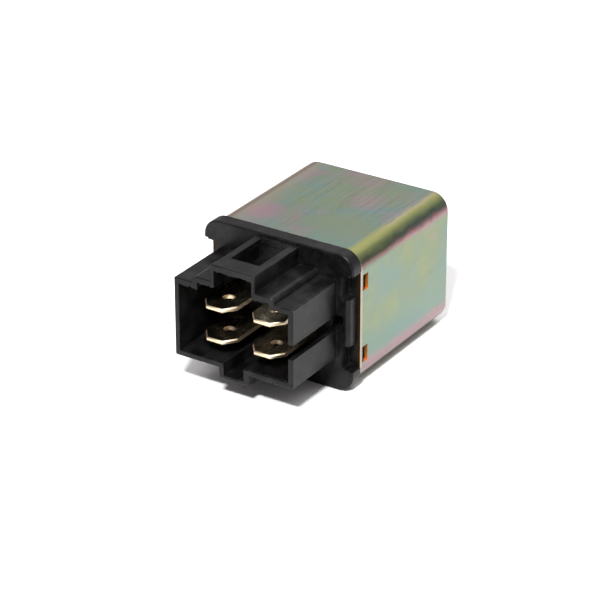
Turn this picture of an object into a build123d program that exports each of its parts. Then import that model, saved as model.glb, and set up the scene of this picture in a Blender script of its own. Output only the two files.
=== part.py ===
"""Plug-in relay: a moulded base with a connector shroud, four flat tabs, a drawn steel can
and a hinged-armature relay inside.

Millimetres. +X is to the right, +Y runs from the connector to the closed end of the can and
+Z is up. The origin is under the middle of the whole relay, on the surface it lies on.
"""
from build123d import *
from math import cos, radians, sin, sqrt
import os

os.makedirs("parts", exist_ok=True)

# ---------------------------------------------------------------- driving dimensions
# flange of the base, which the can sits against
flange_w = 29.6
flange_h = 25.25
flange_t = 2.5
flange_r = 3.0
flange_edge_r = 0.35

# connector shroud, a stepped tube: main box, raised platform, latch bridge, key channel
shroud_len = 13.35
shroud_w = 23.3
shroud_bottom = 6.05
shroud_top = 20.45
platform_w = 16.0
platform_top = 21.55
bridge_w = 8.5
bridge_top = 24.6
key_w = 6.0
key_bottom = 4.15
side_wall = 0.9
flat_wall = 0.95
bridge_leg = 0.55
bridge_bar = 1.0
bridge_bar_len = 3.7
window_w = 5.6
window_gap = 0.45
key_wall = 1.0
key_floor = 0.6
rim_chamfer = 0.12
edge_fillet = 0.25
platform_fillet = 0.9

# code slot in the right wall, which runs on into the flange
slot_bottom = 11.4
slot_h = 2.65
slot_out = 1.3
slot_sink = 1.9

# side relief of the flange and the core holes that form the snap hooks
relief_bottom = 3.95
relief_h = 17.75
relief_depth = 0.8
core_hole_h = 4.3
core_hole_pitch = 12.9
core_hole_depth = 1.55
core_hole_r = 0.8
tab_chamfer = 0.55

# can
can_w = 29.4
can_h = 24.05
can_bottom = 0.65
can_len = 29.25
can_wall = 0.6
can_r = 3.3
can_end_r = 0.9
hook_pitch = 13.3
can_window_h = 2.9
can_window_len = 1.7
can_window_edge = 0.65

# part of the base inside the can, and its hooks
spigot_len = 3.0
spigot_fit = 0.1
hook_reach = 0.42
hook_sink = 0.6
hook_fit = 0.08

# flat tabs, 6.3 x 0.8 mm
blade_w = 6.3
blade_t = 0.8
blade_pitch_x = 9.4
blade_pitch_z = 5.9
blade_lower_z = 9.8
blade_reach = 11.95
blade_tip_w = 3.1
blade_tip_len = 2.0
blade_edge = 0.2
blade_hole_r = 1.0
blade_hole_back = 4.45
blade_fit = 0.05

# terminal tails inside the can
tail_w = 2.4
tail_gap = 0.3
coil_tail_z = 4.3
coil_tail_len = 5.2
recess_fit = 0.2
recess_wall = 0.3
common_foot_w = 1.9
common_foot_h = 4.6
stem_w = 3.45

# yoke: foot on the base, leg beside the coil
yoke_t = 1.5
yoke_w = 10.0
yoke_side_room = 2.8
yoke_past_core = 4.4
yoke_bend_r = 1.6
prong_w = 2.0
prong_len = 2.0
prong_inset = 0.5
prong_fit = 0.05
lug_t = 0.8
lug_w = 2.0
lug_reach = 2.3
lug_hole_r = 0.4
lug_below_pole = 10.4

# coil: core, bobbin, winding and tape
core_r = 3.0
core_neck_r = 2.0
core_stake_len = 0.6
neck_fit = 0.02
pole_inset = 1.5
pole_t = 1.2
pole_height = 20.7
bobbin_fit = 0.05
bobbin_tube_t = 0.85
bobbin_cheek_t = 0.9
bobbin_cheek_r = 2.0
cheek_yoke_gap = 0.2
cheek_stem_gap = 1.7
winding_inset = 0.5
layer_fit = 0.02
tape_t = 0.16

# armature, hinged on the outer edge of the yoke leg's end
open_angle = 2.4
hinge_gap = 0.05
armature_t = 1.3
armature_past_pole = 0.2
armature_heel = 0.9
armature_inset = 0.3
tail_end = 2.4
tail_lug_w = 3.0
spring_hook = 1.6
hook_hole_r = 0.4

# contact arm and contacts
arm_t = 0.35
arm_start = 3.6
arm_past_contact = 2.6
arm_root_w = 7.0
arm_tip_w = 4.6
arm_taper_len = 4.5
arm_tip_len = 4.7
rivet_inset = 3.4
rivet_spread = 4.4
rivet_r = 0.6
rivet_head_r = 1.1
rivet_head_t = 0.4
contact_side_room = 5.0
contact_r = 1.5
contact_t = 0.6
contact_shank_r = 0.7
contact_upset_r = 1.0
contact_upset_t = 0.3
closed_gap = 0.05
fixed_head_t = 0.5

# output post, which carries the fixed contact
post_w = 5.2
post_h = 5.9
post_shoulder = 6.0

# backstop bracket
stop_t = 0.8
stop_w = 5.0
stop_side_room = 0.8
stop_lip = 2.7
stop_gap = 0.05
stop_root = 1.3
stop_fit = 0.05

# return spring and pigtail
spring_wire_r = 0.15
spring_r = 0.85
spring_turns = 12
spring_pitch = 0.48
pigtail_r = 0.45
pigtail_lift = 1.1
pigtail_bend = 1.4
pigtail_end_bend = 0.7
pigtail_foot = 5.0
pigtail_to_contact = 3.6
pigtail_weld = 1.6
pigtail_fit = 0.02

# suppression resistor and coil wires
resistor_r = 1.2
resistor_len = 6.4
resistor_edge_r = 0.4
resistor_y = 2.2
lead_r = 0.3
lead_fit = 0.02
lead_lap = 0.6
wire_r = 0.15
wire_y = 1.4
wire_bend = 0.5

# depth of the band in which the edges of one face are picked
pick_band = 0.2

# ---------------------------------------------------------------- places worked out from them
front_y = -(shroud_len + flange_t + can_len) / 2
flange_y = front_y + shroud_len
can_y = flange_y + flange_t
spigot_y = can_y + spigot_len
can_mid_z = can_bottom + can_h / 2
spigot_w = can_w - 2 * (can_wall + spigot_fit)
spigot_h = can_h - 2 * (can_wall + spigot_fit)
spigot_r = can_r - can_wall - spigot_fit
window_front_y = can_y + can_window_edge

shroud_inner_w = shroud_w - 2 * side_wall
shroud_floor = shroud_bottom + flat_wall
shroud_ceiling = shroud_top - flat_wall
platform_ceiling = platform_top - flat_wall
platform_inner_w = platform_w - 2 * side_wall
bridge_inner_w = bridge_w - 2 * bridge_leg
bridge_ceiling = bridge_top - bridge_bar
key_inner_w = key_w - 2 * key_wall
key_inner_floor = key_bottom + key_floor

blade_outer_x = blade_pitch_x / 2 + blade_w / 2
stem_inner_x = blade_outer_x - stem_w
yoke_leg_x = -(spigot_w / 2 - yoke_side_room)
yoke_inner_x = yoke_leg_x + yoke_t
cheek_left_x = yoke_inner_x + cheek_yoke_gap
bobbin_cheek_w = stem_inner_x - cheek_stem_gap - cheek_left_x
coil_x = cheek_left_x + bobbin_cheek_w / 2
winding_r = bobbin_cheek_w / 2 - winding_inset
pole_r = bobbin_cheek_w / 2 - pole_inset
yoke_foot_end = coil_x + yoke_past_core
prong_inner_x = min(yoke_inner_x, -(blade_outer_x + blade_fit + recess_wall + prong_fit))
prong_t = prong_inner_x - yoke_leg_x
tail_outer_x = min(blade_outer_x, -prong_inner_x - prong_fit - recess_wall - recess_fit)
common_foot_end = min(common_foot_w - tail_outer_x, coil_x - core_neck_r - recess_fit - recess_wall)
common_foot_x = common_foot_end - common_foot_w / 2
contact_x = spigot_w / 2 - contact_side_room
stop_x = spigot_w / 2 - stop_side_room

coil_z = blade_lower_z + blade_pitch_z / 2
blade_tip_y = flange_y - blade_reach
blade_upper_z = blade_lower_z + blade_pitch_z
hole_y = blade_tip_y + blade_hole_back
pole_y = spigot_y + pole_height
foot_top_y = spigot_y + yoke_t
hinge_x = yoke_leg_x
yoke_z0 = coil_z - yoke_w / 2
tape_r = winding_r + layer_fit + tape_t
bobbin_y0 = foot_top_y + bobbin_fit
bobbin_y1 = pole_y - pole_t - bobbin_fit
tail_y = spigot_y - tail_gap - blade_t
lug_y = pole_y - lug_below_pole

armature_w = yoke_w - 2 * armature_inset
armature_end = coil_x - hinge_x + pole_r + armature_past_pole
rivet_at = arm_start + rivet_inset
contact_at = contact_x - hinge_x
arm_end = contact_at + arm_past_contact
arm_taper_end = contact_at - arm_tip_len
arm_taper_start = arm_taper_end - arm_taper_len
pigtail_land = contact_at - pigtail_to_contact
arm_dir = Vector(cos(radians(open_angle)), sin(radians(open_angle)), 0)
arm_out = Vector(-sin(radians(open_angle)), cos(radians(open_angle)), 0)
hinge_point = Vector(hinge_x, pole_y, coil_z)
arm_h = hinge_gap + armature_t
arm_top_h = arm_h + arm_t
contact_face_h = arm_h - contact_t
fixed_face_y = pole_y + contact_face_h - closed_gap
post_top_y = fixed_face_y - fixed_head_t
post_y0 = post_top_y - blade_t
stop_face_y = (hinge_point + arm_dir * arm_end + arm_out * arm_top_h).Y + stop_gap


def across(y):
    """Plane across the relay at depth y: its x is X and its y is Z. Negative amounts go to +Y."""
    return Plane.XZ.offset(-y)


def level(z):
    """Horizontal plane at height z."""
    return Plane.XY.offset(z)


def on_arm(height):
    """Plane along the open armature, height above its hinge line, facing away from the pole."""
    return Plane(origin=hinge_point + arm_out * height, x_dir=arm_dir, z_dir=arm_out)


def coil_axis_plane():
    """Plane through the coil's axis: its x is the radius and its y runs along the coil."""
    return Plane(origin=(coil_x, 0, coil_z), x_dir=(1, 0, 0), z_dir=(0, 0, 1))


def stepped_outline(half_widths, heights):
    """Corner points of a symmetric stepped outline, from the bottom step to the top one."""
    right = []
    for width, (low, high) in zip(half_widths, heights):
        right += [(width, low), (width, high)]
    left = [(-x, z) for x, z in reversed(right)]
    return right + left


coil_axis = Axis((coil_x, 0, coil_z), (0, 1, 0))
outer_steps = stepped_outline(
    (key_w / 2, shroud_w / 2, platform_w / 2, bridge_w / 2),
    ((key_bottom, shroud_bottom), (shroud_bottom, shroud_top),
     (shroud_top, platform_top), (platform_top, bridge_top)),
)
inner_steps = stepped_outline(
    (key_inner_w / 2, shroud_inner_w / 2, platform_inner_w / 2, bridge_inner_w / 2),
    ((key_inner_floor, shroud_floor), (shroud_floor, shroud_ceiling),
     (shroud_ceiling, platform_ceiling), (platform_ceiling, bridge_ceiling)),
)
blade_places = {
    "common": (-blade_pitch_x / 2, blade_upper_z),
    "output": (blade_pitch_x / 2, blade_upper_z),
    "coil_a": (-blade_pitch_x / 2, blade_lower_z),
    "coil_b": (blade_pitch_x / 2, blade_lower_z),
}

# ---------------------------------------------------------------- base
with BuildPart() as base:
    # flange
    with BuildSketch(across(flange_y)):
        with Locations((0, flange_h / 2)):
            RectangleRounded(flange_w, flange_h, flange_r)
    extrude(amount=-flange_t)
    fillet(base.edges().group_by(Axis.Y)[0], flange_edge_r)
    # spigot inside the can
    with BuildSketch(across(can_y)):
        with Locations((0, can_mid_z)):
            RectangleRounded(spigot_w, spigot_h, spigot_r)
    extrude(amount=-spigot_len)
    # shroud, solid first
    with BuildSketch(across(flange_y)):
        with BuildLine():
            Polyline(*outer_steps, close=True)
        make_face()
    extrude(amount=shroud_len)
    long_edges = base.edges().filter_by(Axis.Y).filter_by_position(Axis.Y, front_y, flange_y)
    step_edges = long_edges.filter_by_position(Axis.Z, platform_top - pick_band, platform_top)
    fillet(step_edges.sort_by(Axis.X)[0:1] + step_edges.sort_by(Axis.X)[-1:], platform_fillet)
    long_edges = base.edges().filter_by(Axis.Y).filter_by_position(Axis.Y, front_y, flange_y)
    box_edges = long_edges.filter_by_position(Axis.X, shroud_w / 2 - pick_band, shroud_w / 2)
    box_edges += long_edges.filter_by_position(Axis.X, -shroud_w / 2, -shroud_w / 2 + pick_band)
    top_edges = long_edges.filter_by_position(Axis.Z, bridge_top - pick_band, bridge_top)
    fillet(box_edges + top_edges, edge_fillet)
    chamfer(base.faces().sort_by(Axis.Y)[0].outer_wire().edges(), rim_chamfer)
    # cavity of the shroud
    with BuildSketch(across(front_y)):
        with BuildLine():
            Polyline(*inner_steps, close=True)
        make_face()
    extrude(amount=-shroud_len, mode=Mode.SUBTRACT)
    # window in the top of the bridge
    window_y0 = front_y + bridge_bar_len
    window_y1 = flange_y - window_gap
    with BuildSketch(level(bridge_ceiling)):
        with Locations((0, (window_y0 + window_y1) / 2)):
            Rectangle(window_w, window_y1 - window_y0)
    extrude(amount=bridge_bar, mode=Mode.SUBTRACT)
    # code slot in the right wall, on into the flange
    slot_x0 = shroud_w / 2 - side_wall
    with BuildSketch(across(front_y)):
        with Locations((slot_x0, slot_bottom)):
            Rectangle(side_wall, slot_h, align=(Align.MIN, Align.MIN))
    extrude(amount=-shroud_len, mode=Mode.SUBTRACT)
    with BuildSketch(across(flange_y)):
        with Locations((slot_x0, slot_bottom)):
            Rectangle(side_wall + slot_out, slot_h, align=(Align.MIN, Align.MIN))
    extrude(amount=-slot_sink, mode=Mode.SUBTRACT)
    # side relief of the flange, with the two core holes behind it
    relief_x = flange_w / 2 - relief_depth
    core_hole_x = relief_x - core_hole_depth
    relief_mid_z = relief_bottom + relief_h / 2
    core_hole_heights = (relief_mid_z - core_hole_pitch / 2, relief_mid_z + core_hole_pitch / 2)
    with BuildSketch(across(flange_y)):
        for side in (-1, 1):
            with Locations((side * (relief_x + relief_depth), relief_mid_z)):
                Rectangle(2 * relief_depth, relief_h)
            for height in core_hole_heights:
                with Locations((side * flange_w / 2, height)):
                    RectangleRounded(2 * (flange_w / 2 - core_hole_x), core_hole_h, core_hole_r)
    extrude(amount=-flange_t, mode=Mode.SUBTRACT)
    # bevel on the tab left between the core holes
    tab_z0 = core_hole_heights[0] + core_hole_h / 2
    for side in (-1, 1):
        with BuildSketch(level(tab_z0)):
            with BuildLine():
                Polyline((side * relief_x, flange_y), (side * (relief_x - tab_chamfer), flange_y),
                         (side * relief_x, flange_y + tab_chamfer), close=True)
            make_face()
        extrude(amount=core_hole_pitch - core_hole_h, mode=Mode.SUBTRACT)
    # snap hooks, ramped towards the closed end of the can
    hook_heights = (can_mid_z - hook_pitch / 2, can_mid_z + hook_pitch / 2)
    hook_y0 = window_front_y + hook_fit
    hook_y1 = window_front_y + can_window_len - hook_fit
    hook_w = can_window_h - 2 * hook_fit
    for side in (-1, 1):
        hook_root = side * (spigot_w / 2 - hook_sink)
        hook_tip = side * (spigot_w / 2 + spigot_fit + hook_reach)
        for height in hook_heights:
            with BuildSketch(level(height - hook_w / 2)):
                with BuildLine():
                    Polyline((hook_root, hook_y0), (hook_tip, hook_y0), (hook_tip, hook_y0 + hook_reach),
                             (side * spigot_w / 2, hook_y1), (hook_root, hook_y1), close=True)
                make_face()
            extrude(amount=hook_w)
    # slots for the tabs
    with BuildSketch(across(flange_y)):
        for blade_x, blade_z in blade_places.values():
            with Locations((blade_x, blade_z)):
                Rectangle(blade_w + 2 * blade_fit, blade_t + 2 * blade_fit)
    extrude(amount=-(flange_t + spigot_len), mode=Mode.SUBTRACT)
    # recesses in the back of the spigot: coil tails, common foot, core stake and yoke prongs
    coil_tail_z0 = coil_tail_z - blade_t / 2
    with BuildSketch(across(spigot_y)):
        for side in (-1, 1):
            with Locations((side * (tail_outer_x - tail_w / 2), coil_tail_z0 - recess_fit)):
                Rectangle(tail_w + 2 * recess_fit, blade_lower_z - coil_tail_z0 + recess_fit,
                          align=(Align.CENTER, Align.MIN))
    extrude(amount=tail_gap + blade_t + blade_fit, mode=Mode.SUBTRACT)
    with BuildSketch(across(spigot_y)):
        with Locations((common_foot_x, blade_upper_z + blade_t / 2 + blade_fit)):
            Rectangle(common_foot_w + 2 * recess_fit, common_foot_h + blade_fit + recess_fit,
                      align=(Align.CENTER, Align.MAX))
    extrude(amount=blade_t + blade_fit, mode=Mode.SUBTRACT)
    with BuildSketch(across(spigot_y)):
        with Locations((coil_x, coil_z)):
            Circle(core_neck_r + recess_fit)
    extrude(amount=core_stake_len + recess_fit, mode=Mode.SUBTRACT)
    prong_heights = (yoke_z0 + prong_inset + prong_w / 2, yoke_z0 + yoke_w - prong_inset - prong_w / 2)
    with BuildSketch(across(spigot_y)):
        for height in prong_heights:
            with Locations((yoke_leg_x + prong_t / 2, height)):
                Rectangle(prong_t + 2 * prong_fit, prong_w + 2 * prong_fit)
    extrude(amount=prong_len + prong_fit, mode=Mode.SUBTRACT)
    # slot that holds the backstop's root
    with BuildSketch(across(spigot_y)):
        with Locations((stop_x - stop_t / 2, coil_z)):
            Rectangle(stop_t + 2 * stop_fit, stop_w + 2 * stop_fit)
    extrude(amount=stop_root + stop_fit, mode=Mode.SUBTRACT)
base.part.label = "base"
export_step(base.part, "parts/base.step")

# ---------------------------------------------------------------- can
with BuildPart() as can_cover:
    with BuildSketch(across(can_y)):
        with Locations((0, can_mid_z)):
            RectangleRounded(can_w, can_h, can_r)
    extrude(amount=-can_len)
    fillet(can_cover.edges().group_by(Axis.Y)[-1], can_end_r)
    with BuildSketch(across(can_y)):
        with Locations((0, can_mid_z)):
            RectangleRounded(can_w - 2 * can_wall, can_h - 2 * can_wall, can_r - can_wall)
    extrude(amount=-(can_len - can_wall), mode=Mode.SUBTRACT)
    with BuildSketch(Plane.YZ):
        for height in hook_heights:
            with Locations((window_front_y, height)):
                Rectangle(can_window_len, can_window_h, align=(Align.MIN, Align.CENTER))
    extrude(amount=can_w, both=True, mode=Mode.SUBTRACT)
can_cover.part.label = "can_cover"
export_step(can_cover.part, "parts/can_cover.step")


# ---------------------------------------------------------------- tabs and their tails
def blade_points(blade_x, end_y):
    """Corner points of a flat tab, from its bevelled tip to end_y."""
    half = blade_w / 2
    tip = blade_tip_w / 2
    shoulder_y = blade_tip_y + blade_tip_len
    return (
        (blade_x - tip, blade_tip_y), (blade_x + tip, blade_tip_y), (blade_x + half, shoulder_y),
        (blade_x + half, end_y), (blade_x - half, end_y), (blade_x - half, shoulder_y),
    )


def tip_edges(part):
    """The edges above and below a tab's tip, which are bevelled."""
    flat_edges = part.edges().filter_by(Axis.Z, reverse=True)
    return flat_edges.filter_by_position(Axis.Y, blade_tip_y, blade_tip_y + blade_tip_len - pick_band)


with BuildPart() as terminal_common:
    common_x, common_z = blade_places["common"]
    with BuildSketch(level(common_z - blade_t / 2)):
        with BuildLine():
            Polyline(*blade_points(common_x, spigot_y), close=True)
        make_face()
        with Locations((common_x, hole_y)):
            Circle(blade_hole_r, mode=Mode.SUBTRACT)
    extrude(amount=blade_t)
    chamfer(tip_edges(terminal_common), blade_edge)
    with BuildSketch(across(spigot_y)):
        with Locations((common_foot_x, common_z + blade_t / 2)):
            Rectangle(common_foot_w, common_foot_h, align=(Align.CENTER, Align.MAX))
    extrude(amount=blade_t)
terminal_common.part.label = "terminal_common"
export_step(terminal_common.part, "parts/terminal_common.step")

with BuildPart() as terminal_output:
    output_x, output_z = blade_places["output"]
    post_x0 = contact_x - post_w / 2
    with BuildSketch(level(output_z - blade_t / 2)):
        with BuildLine():
            Polyline(*blade_points(output_x, spigot_y - recess_fit), close=True)
        make_face()
        with Locations((output_x, hole_y)):
            Circle(blade_hole_r, mode=Mode.SUBTRACT)
        with Locations((stem_inner_x, can_y)):
            Rectangle(stem_w, post_top_y - can_y, align=(Align.MIN, Align.MIN))
        with Locations((stem_inner_x, post_top_y)):
            Rectangle(post_x0 + post_w - stem_inner_x, post_shoulder, align=(Align.MIN, Align.MAX))
    extrude(amount=blade_t)
    chamfer(tip_edges(terminal_output), blade_edge)
    with BuildSketch(across(post_top_y)):
        with Locations((post_x0, output_z + blade_t / 2)):
            Rectangle(post_w, post_h, align=(Align.MIN, Align.MAX))
        with Locations((contact_x, coil_z)):
            Circle(contact_shank_r, mode=Mode.SUBTRACT)
    extrude(amount=blade_t)
terminal_output.part.label = "terminal_output"
export_step(terminal_output.part, "parts/terminal_output.step")

coil_tails = {}
for name, side in (("coil_a", -1), ("coil_b", 1)):
    blade_x, blade_z = blade_places[name]
    tail_x = side * (tail_outer_x - tail_w / 2)
    coil_tails[name] = tail_x
    with BuildPart() as terminal_coil:
        with BuildSketch(level(blade_z - blade_t / 2)):
            with BuildLine():
                Polyline(*blade_points(blade_x, tail_y + blade_t), close=True)
            make_face()
            with Locations((blade_x, hole_y)):
                Circle(blade_hole_r, mode=Mode.SUBTRACT)
        extrude(amount=blade_t)
        chamfer(tip_edges(terminal_coil), blade_edge)
        with BuildSketch(across(tail_y)):
            with Locations((tail_x, coil_tail_z - blade_t / 2)):
                Rectangle(tail_w, blade_z + blade_t - coil_tail_z, align=(Align.CENTER, Align.MIN))
        extrude(amount=-blade_t)
        with BuildSketch(level(coil_tail_z - blade_t / 2)):
            with Locations((tail_x, tail_y)):
                Rectangle(tail_w, coil_tail_len + blade_t + tail_gap, align=(Align.CENTER, Align.MIN))
        extrude(amount=blade_t)
    terminal_coil.part.label = "terminal_" + name
    export_step(terminal_coil.part, "parts/terminal_" + name + ".step")

# ---------------------------------------------------------------- iron parts of the magnet
with BuildPart() as yoke:
    with BuildSketch(level(yoke_z0)):
        with BuildLine():
            Polyline(
                (yoke_leg_x, spigot_y), (yoke_foot_end, spigot_y), (yoke_foot_end, foot_top_y),
                (yoke_leg_x + yoke_t, foot_top_y), (yoke_leg_x + yoke_t, pole_y),
                (yoke_leg_x, pole_y), close=True,
            )
        make_face()
    extrude(amount=yoke_w)
    bend = yoke.edges().filter_by(Axis.Z).filter_by_position(Axis.Y, spigot_y, spigot_y)
    fillet(bend.sort_by(Axis.X)[0], yoke_bend_r)
    with BuildSketch(across(foot_top_y)):
        for height in prong_heights:
            with Locations((yoke_leg_x + prong_t / 2, height)):
                Rectangle(prong_t, prong_w)
    extrude(amount=yoke_t + prong_len)
    with BuildSketch(across(lug_y)):
        with Locations((yoke_leg_x + yoke_t / 2, coil_z)):
            Rectangle(lug_reach + yoke_t / 2, lug_w, align=(Align.MAX, Align.CENTER))
        with Locations((hinge_x - spring_hook, coil_z)):
            Circle(lug_hole_r, mode=Mode.SUBTRACT)
    extrude(amount=lug_t)
    with BuildSketch(across(spigot_y)):
        with Locations((coil_x, coil_z)):
            Circle(core_neck_r + neck_fit)
    extrude(amount=-yoke_t, mode=Mode.SUBTRACT)
yoke.part.label = "yoke"
export_step(yoke.part, "parts/yoke.step")

with BuildPart() as core:
    with BuildSketch(coil_axis_plane()):
        with BuildLine():
            Polyline(
                (0, spigot_y - core_stake_len), (core_neck_r, spigot_y - core_stake_len),
                (core_neck_r, foot_top_y), (core_r, foot_top_y), (core_r, pole_y - pole_t),
                (pole_r, pole_y - pole_t), (pole_r, pole_y), (0, pole_y), close=True,
            )
        make_face()
    revolve(axis=coil_axis)
core.part.label = "core"
export_step(core.part, "parts/core.step")

with BuildPart() as armature:
    with BuildSketch(on_arm(hinge_gap)):
        with Locations((-armature_heel, 0)):
            Rectangle(armature_end + armature_heel, armature_w, align=(Align.MIN, Align.CENTER))
        with Locations((-tail_end, 0)):
            Rectangle(tail_end, tail_lug_w, align=(Align.MIN, Align.CENTER))
        with Locations((-spring_hook, 0)):
            Circle(hook_hole_r, mode=Mode.SUBTRACT)
        with Locations((rivet_at, 0)):
            with GridLocations(1, rivet_spread, 1, 2):
                Circle(rivet_r, mode=Mode.SUBTRACT)
    extrude(amount=armature_t)
armature.part.label = "armature"
export_step(armature.part, "parts/armature.step")

# ---------------------------------------------------------------- coil
bore_r = core_r + bobbin_fit
tube_r = bore_r + bobbin_tube_t
with BuildPart() as bobbin:
    for cheek_y in (bobbin_y0, bobbin_y1 - bobbin_cheek_t):
        with BuildSketch(across(cheek_y)):
            with Locations((coil_x, coil_z)):
                RectangleRounded(bobbin_cheek_w, bobbin_cheek_w, bobbin_cheek_r)
        extrude(amount=-bobbin_cheek_t)
    with BuildSketch(across(bobbin_y0)):
        with Locations((coil_x, coil_z)):
            Circle(tube_r)
    extrude(amount=-(bobbin_y1 - bobbin_y0))
    with BuildSketch(across(bobbin_y0)):
        with Locations((coil_x, coil_z)):
            Circle(bore_r)
    extrude(amount=-(bobbin_y1 - bobbin_y0), mode=Mode.SUBTRACT)
bobbin.part.label = "bobbin"
export_step(bobbin.part, "parts/bobbin.step")

winding_y0 = bobbin_y0 + bobbin_cheek_t + layer_fit
winding_len = bobbin_y1 - bobbin_cheek_t - layer_fit - winding_y0
coil_rings = (
    ("coil_winding", tube_r + layer_fit, winding_r),
    ("coil_tape", winding_r + layer_fit, tape_r),
)
for name, inner_r, outer_r in coil_rings:
    with BuildPart() as ring:
        with BuildSketch(across(winding_y0)):
            with Locations((coil_x, coil_z)):
                Circle(outer_r)
                Circle(inner_r, mode=Mode.SUBTRACT)
        extrude(amount=-winding_len)
    ring.part.label = name
    export_step(ring.part, "parts/" + name + ".step")

# ---------------------------------------------------------------- contacts
with BuildPart() as contact_arm:
    with BuildSketch(on_arm(arm_h)):
        with BuildLine():
            Polyline(
                (arm_start, -arm_root_w / 2), (arm_taper_start, -arm_root_w / 2),
                (arm_taper_end, -arm_tip_w / 2), (arm_end, -arm_tip_w / 2),
                (arm_end, arm_tip_w / 2), (arm_taper_end, arm_tip_w / 2),
                (arm_taper_start, arm_root_w / 2), (arm_start, arm_root_w / 2), close=True,
            )
        make_face()
        with Locations((contact_at, 0)):
            Circle(contact_shank_r, mode=Mode.SUBTRACT)
        with Locations((rivet_at, 0)):
            with GridLocations(1, rivet_spread, 1, 2):
                Circle(rivet_r, mode=Mode.SUBTRACT)
    extrude(amount=arm_t)
contact_arm.part.label = "contact_arm"
export_step(contact_arm.part, "parts/contact_arm.step")

with BuildPart() as arm_rivets:
    for height, radius, length in (
        (hinge_gap, rivet_r, armature_t + arm_t),
        (arm_top_h, rivet_head_r, rivet_head_t),
    ):
        with BuildSketch(on_arm(height)):
            with Locations((rivet_at, 0)):
                with GridLocations(1, rivet_spread, 1, 2):
                    Circle(radius)
        extrude(amount=length)
arm_rivets.part.label = "arm_rivets"
export_step(arm_rivets.part, "parts/arm_rivets.step")

with BuildPart() as moving_contact:
    for height, radius, length in (
        (contact_face_h, contact_r, contact_t),
        (arm_h, contact_shank_r, arm_t),
        (arm_top_h, contact_upset_r, contact_upset_t),
    ):
        with BuildSketch(on_arm(height)):
            with Locations((contact_at, 0)):
                Circle(radius)
        extrude(amount=length)
moving_contact.part.label = "moving_contact"
export_step(moving_contact.part, "parts/moving_contact.step")

with BuildPart() as fixed_contact:
    for start_y, radius, length in (
        (post_y0 - contact_upset_t, contact_upset_r, contact_upset_t),
        (post_y0, contact_shank_r, blade_t),
        (post_top_y, contact_r, fixed_head_t),
    ):
        with BuildSketch(across(start_y)):
            with Locations((contact_x, coil_z)):
                Circle(radius)
        extrude(amount=-length)
fixed_contact.part.label = "fixed_contact"
export_step(fixed_contact.part, "parts/fixed_contact.step")

with BuildPart() as backstop:
    with BuildSketch(level(coil_z - stop_w / 2)):
        with Locations((stop_x, spigot_y - stop_root)):
            Rectangle(stop_t, stop_face_y + stop_t - spigot_y + stop_root, align=(Align.MAX, Align.MIN))
        with Locations((stop_x, stop_face_y)):
            Rectangle(stop_lip, stop_t, align=(Align.MAX, Align.MIN))
    extrude(amount=stop_w)
backstop.part.label = "backstop"
export_step(backstop.part, "parts/backstop.step")

# ---------------------------------------------------------------- return spring
spring_x = hinge_x - spring_hook
spring_len = spring_turns * spring_pitch
tail_face_y = (hinge_point - arm_dir * spring_hook + arm_out * hinge_gap).Y
spring_y0 = (lug_y + tail_face_y - lug_t - spring_len) / 2
with BuildPart() as return_spring:
    with BuildLine() as spring_path:
        Helix(pitch=spring_pitch, height=spring_len, radius=spring_r,
              center=(spring_x, spring_y0, coil_z), direction=(0, 1, 0))
    helix_wire = spring_path.wires()[0]
    with BuildSketch(Plane(origin=helix_wire @ 0, z_dir=helix_wire % 0)):
        Circle(spring_wire_r)
    sweep(path=helix_wire)
    for coil_end, hook_y in ((helix_wire @ 0, lug_y - lug_t), (helix_wire @ 1, tail_face_y + armature_t)):
        towards = Vector(spring_x, coil_end.Y, coil_z)
        with BuildLine() as hook_path:
            Polyline(coil_end, towards, (spring_x, hook_y, coil_z))
        hook_wire = hook_path.wires()[0]
        with BuildSketch(Plane(origin=hook_wire @ 0, z_dir=hook_wire % 0)):
            Circle(spring_wire_r)
        sweep(path=hook_wire, transition=Transition.RIGHT)
return_spring.part.label = "return_spring"
export_step(return_spring.part, "parts/return_spring.step")

# ---------------------------------------------------------------- pigtail
pigtail_side_z = yoke_z0 + yoke_w + pigtail_r
pigtail_x = yoke_leg_x + yoke_t / 2
land = hinge_point + arm_dir * pigtail_land + arm_out * (arm_top_h + pigtail_r + pigtail_fit)
touch_down = land - arm_dir * pigtail_weld
far_bend_y = land.Y + pigtail_lift
pigtail_points = (
    (pigtail_x, pole_y - pigtail_foot, pigtail_side_z),
    (pigtail_x, far_bend_y, pigtail_side_z),
    (land.X - pigtail_foot, far_bend_y, pigtail_side_z - pigtail_r),
    (touch_down.X, touch_down.Y, coil_z),
    (land.X, land.Y, coil_z),
)
with BuildPart() as pigtail:
    with BuildLine() as pigtail_path:
        FilletPolyline(*pigtail_points, radius=(pigtail_bend, pigtail_bend, pigtail_end_bend))
    pigtail_wire = pigtail_path.wires()[0]
    with BuildSketch(Plane(origin=pigtail_wire @ 0, z_dir=pigtail_wire % 0)):
        Circle(pigtail_r)
    sweep(path=pigtail_wire)
pigtail.part.label = "pigtail"
export_step(pigtail.part, "parts/pigtail.step")

# ---------------------------------------------------------------- resistor and coil wires
resistor_z = coil_tail_z - blade_t / 2 - lead_r - lead_fit
resistor_mid_y = spigot_y + resistor_y
with BuildPart() as suppression_resistor:
    with BuildSketch(Plane(origin=(-resistor_len / 2, resistor_mid_y, resistor_z), z_dir=(1, 0, 0))):
        Circle(resistor_r)
    extrude(amount=resistor_len)
    fillet(suppression_resistor.edges(), resistor_edge_r)
suppression_resistor.part.label = "suppression_resistor"
export_step(suppression_resistor.part, "parts/suppression_resistor.step")

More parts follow.
